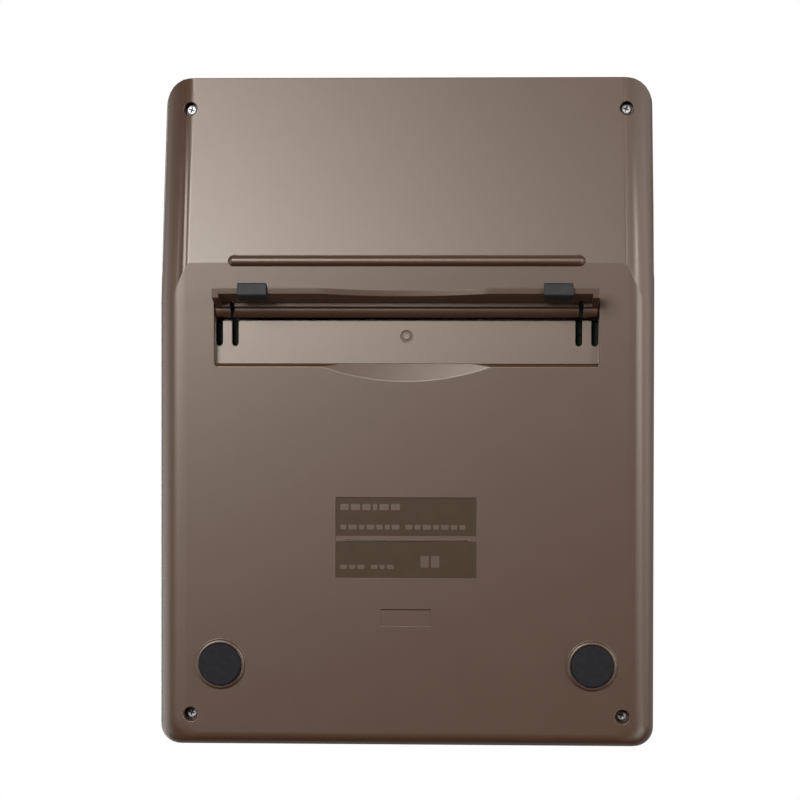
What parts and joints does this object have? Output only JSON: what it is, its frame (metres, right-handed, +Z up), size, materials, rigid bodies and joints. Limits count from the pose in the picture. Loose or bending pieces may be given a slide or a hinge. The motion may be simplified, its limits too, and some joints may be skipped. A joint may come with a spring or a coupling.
{
  "type": "desk calculator",
  "caption": "Desk calculator with a sloping display head, a key deck and a fold-out kickstand under its rear, standing on its open stand.",
  "frame": {"origin": "on the desk, under the middle of the bounding box, with the kickstand open", "axes": "+X to the user's right, +Y away from the user towards the display, +Z up"},
  "size_m": [0.151, 0.2038, 0.0569],
  "materials": {
    "case": "satin metallic brown",
    "face": "brushed champagne",
    "window": "clear smoked lens",
    "lcd": "grey-green display",
    "dark_plastic": "moulded",
    "ribbon": "printed film",
    "solar": "dark purple-brown cell",
    "wire": "insulation",
    "silicone": "translucent grey",
    "board": "green solder mask",
    "epoxy": "black blob",
    "ceramic_part": "glazed",
    "cell_steel": "plated",
    "contact": "plated spring",
    "screw": "bright zinc",
    "key_light": "ivory, satin gloss",
    "key_dark": "brown, satin gloss",
    "key_accent": "rust orange, satin gloss",
    "foot_rubber": "matte black",
    "shoe_rubber": "matte dark grey"
  },
  "bodies": {
    "root": {"rear_case": "case", "front_case": "case", "face_plate": "face", "display_window": "window", "lcd_panel": "lcd", "lcd_frame": "dark_plastic", "display_ribbon": "ribbon", "solar_window": "window", "solar_cell": "solar", "solar_leads": "wire", "keypad_membrane": "silicone", "main_board": "board", "chip_blob": "epoxy", "board_capacitors": "ceramic_part", "board_resistors": "ceramic_part", "button_cell": "cell_steel", "cell_holder": "dark_plastic", "cell_contact_plus": "contact", "cell_contact_minus": "contact", "board_screws": "screw", "front_foot_left": "foot_rubber", "front_foot_right": "foot_rubber", "case_screws": "screw"},
    "stand": {"kickstand": "case", "stand_shoe_left": "shoe_rubber", "stand_shoe_right": "shoe_rubber"},
    "decimal_switch": {"decimal_knob": "dark_plastic", "decimal_wiper": "contact"},
    "rounding_switch": {"rounding_knob": "dark_plastic", "rounding_wiper": "contact"},
    "key_mark_up": {"key_mark_up": "key_dark"},
    "key_grand_total": {"key_grand_total": "key_dark"},
    "key_memory_clear": {"key_memory_clear": "key_dark"},
    "key_memory_recall": {"key_memory_recall": "key_dark"},
    "key_memory_minus": {"key_memory_minus": "key_dark"},
    "key_memory_plus": {"key_memory_plus": "key_dark"},
    "key_square_root": {"key_square_root": "key_dark"},
    "key_backspace": {"key_backspace": "key_dark"},
    "key_7": {"key_7": "key_light"},
    "key_8": {"key_8": "key_light"},
    "key_9": {"key_9": "key_light"},
    "key_percent": {"key_percent": "key_dark"},
    "key_sign": {"key_sign": "key_dark"},
    "key_4": {"key_4": "key_light"},
    "key_5": {"key_5": "key_light"},
    "key_6": {"key_6": "key_light"},
    "key_times": {"key_times": "key_dark"},
    "key_divide": {"key_divide": "key_dark"},
    "key_clear": {"key_clear": "key_accent"},
    "key_1": {"key_1": "key_light"},
    "key_2": {"key_2": "key_light"},
    "key_3": {"key_3": "key_light"},
    "key_minus": {"key_minus": "key_dark"},
    "key_all_clear": {"key_all_clear": "key_accent"},
    "key_0": {"key_0": "key_light"},
    "key_00": {"key_00": "key_light"},
    "key_point": {"key_point": "key_light"},
    "key_plus": {"key_plus": "key_dark"},
    "key_equals": {"key_equals": "key_dark"}
  },
  "joints": [
    {"name": "stand_hinge", "type": "hinge", "parent": "root", "child": "stand", "pos_m": [0, 0.03115, 0.01495], "axis": [1, 0, 0], "range_deg": [-104, 0]},
    {"name": "decimal_switch_slide", "type": "slide", "parent": "root", "child": "decimal_switch", "axis": [1, 0, 0], "range_m": [-0.004, 0.004]},
    {"name": "rounding_switch_slide", "type": "slide", "parent": "root", "child": "rounding_switch", "axis": [1, 0, 0], "range_m": [-0.004, 0.004]},
    {"name": "key_mark_up_press", "type": "slide", "parent": "root", "child": "key_mark_up", "axis": [0, 0.0841, -0.9965], "range_m": [0, 0.0016], "stiffness_N_per_m": 300, "springref_m": -0.001},
    {"name": "key_grand_total_press", "type": "slide", "parent": "root", "child": "key_grand_total", "axis": [0, 0.0841, -0.9965], "range_m": [0, 0.0016], "stiffness_N_per_m": 300, "springref_m": -0.001},
    {"name": "key_memory_clear_press", "type": "slide", "parent": "root", "child": "key_memory_clear", "axis": [0, 0.0841, -0.9965], "range_m": [0, 0.0016], "stiffness_N_per_m": 300, "springref_m": -0.001},
    {"name": "key_memory_recall_press", "type": "slide", "parent": "root", "child": "key_memory_recall", "axis": [0, 0.0841, -0.9965], "range_m": [0, 0.0016], "stiffness_N_per_m": 300, "springref_m": -0.001},
    {"name": "key_memory_minus_press", "type": "slide", "parent": "root", "child": "key_memory_minus", "axis": [0, 0.0841, -0.9965], "range_m": [0, 0.0016], "stiffness_N_per_m": 300, "springref_m": -0.001},
    {"name": "key_memory_plus_press", "type": "slide", "parent": "root", "child": "key_memory_plus", "axis": [0, 0.0841, -0.9965], "range_m": [0, 0.0016], "stiffness_N_per_m": 300, "springref_m": -0.001},
    {"name": "key_square_root_press", "type": "slide", "parent": "root", "child": "key_square_root", "axis": [0, 0.0841, -0.9965], "range_m": [0, 0.0016], "stiffness_N_per_m": 300, "springref_m": -0.001},
    {"name": "key_backspace_press", "type": "slide", "parent": "root", "child": "key_backspace", "axis": [0, 0.0841, -0.9965], "range_m": [0, 0.0016], "stiffness_N_per_m": 300, "springref_m": -0.001},
    {"name": "key_7_press", "type": "slide", "parent": "root", "child": "key_7", "axis": [0, 0.0841, -0.9965], "range_m": [0, 0.0016], "stiffness_N_per_m": 300, "springref_m": -0.001},
    {"name": "key_8_press", "type": "slide", "parent": "root", "child": "key_8", "axis": [0, 0.0841, -0.9965], "range_m": [0, 0.0016], "stiffness_N_per_m": 300, "springref_m": -0.001},
    {"name": "key_9_press", "type": "slide", "parent": "root", "child": "key_9", "axis": [0, 0.0841, -0.9965], "range_m": [0, 0.0016], "stiffness_N_per_m": 300, "springref_m": -0.001},
    {"name": "key_percent_press", "type": "slide", "parent": "root", "child": "key_percent", "axis": [0, 0.0841, -0.9965], "range_m": [0, 0.0016], "stiffness_N_per_m": 300, "springref_m": -0.001},
    {"name": "key_sign_press", "type": "slide", "parent": "root", "child": "key_sign", "axis": [0, 0.0841, -0.9965], "range_m": [0, 0.0016], "stiffness_N_per_m": 300, "springref_m": -0.001},
    {"name": "key_4_press", "type": "slide", "parent": "root", "child": "key_4", "axis": [0, 0.0841, -0.9965], "range_m": [0, 0.0016], "stiffness_N_per_m": 300, "springref_m": -0.001},
    {"name": "key_5_press", "type": "slide", "parent": "root", "child": "key_5", "axis": [0, 0.0841, -0.9965], "range_m": [0, 0.0016], "stiffness_N_per_m": 300, "springref_m": -0.001},
    {"name": "key_6_press", "type": "slide", "parent": "root", "child": "key_6", "axis": [0, 0.0841, -0.9965], "range_m": [0, 0.0016], "stiffness_N_per_m": 300, "springref_m": -0.001},
    {"name": "key_times_press", "type": "slide", "parent": "root", "child": "key_times", "axis": [0, 0.0841, -0.9965], "range_m": [0, 0.0016], "stiffness_N_per_m": 300, "springref_m": -0.001},
    {"name": "key_divide_press", "type": "slide", "parent": "root", "child": "key_divide", "axis": [0, 0.0841, -0.9965], "range_m": [0, 0.0016], "stiffness_N_per_m": 300, "springref_m": -0.001},
    {"name": "key_clear_press", "type": "slide", "parent": "root", "child": "key_clear", "axis": [0, 0.0841, -0.9965], "range_m": [0, 0.0016], "stiffness_N_per_m": 300, "springref_m": -0.001},
    {"name": "key_1_press", "type": "slide", "parent": "root", "child": "key_1", "axis": [0, 0.0841, -0.9965], "range_m": [0, 0.0016], "stiffness_N_per_m": 300, "springref_m": -0.001},
    {"name": "key_2_press", "type": "slide", "parent": "root", "child": "key_2", "axis": [0, 0.0841, -0.9965], "range_m": [0, 0.0016], "stiffness_N_per_m": 300, "springref_m": -0.001},
    {"name": "key_3_press", "type": "slide", "parent": "root", "child": "key_3", "axis": [0, 0.0841, -0.9965], "range_m": [0, 0.0016], "stiffness_N_per_m": 300, "springref_m": -0.001},
    {"name": "key_minus_press", "type": "slide", "parent": "root", "child": "key_minus", "axis": [0, 0.0841, -0.9965], "range_m": [0, 0.0016], "stiffness_N_per_m": 300, "springref_m": -0.001},
    {"name": "key_all_clear_press", "type": "slide", "parent": "root", "child": "key_all_clear", "axis": [0, 0.0841, -0.9965], "range_m": [0, 0.0016], "stiffness_N_per_m": 300, "springref_m": -0.001},
    {"name": "key_0_press", "type": "slide", "parent": "root", "child": "key_0", "axis": [0, 0.0841, -0.9965], "range_m": [0, 0.0016], "stiffness_N_per_m": 300, "springref_m": -0.001},
    {"name": "key_00_press", "type": "slide", "parent": "root", "child": "key_00", "axis": [0, 0.0841, -0.9965], "range_m": [0, 0.0016], "stiffness_N_per_m": 300, "springref_m": -0.001},
    {"name": "key_point_press", "type": "slide", "parent": "root", "child": "key_point", "axis": [0, 0.0841, -0.9965], "range_m": [0, 0.0016], "stiffness_N_per_m": 300, "springref_m": -0.001},
    {"name": "key_plus_press", "type": "slide", "parent": "root", "child": "key_plus", "axis": [0, 0.0841, -0.9965], "range_m": [0, 0.0016], "stiffness_N_per_m": 300, "springref_m": -0.001},
    {"name": "key_equals_press", "type": "slide", "parent": "root", "child": "key_equals", "axis": [0, 0.0841, -0.9965], "range_m": [0, 0.0016], "stiffness_N_per_m": 300, "springref_m": -0.001}
  ]
}
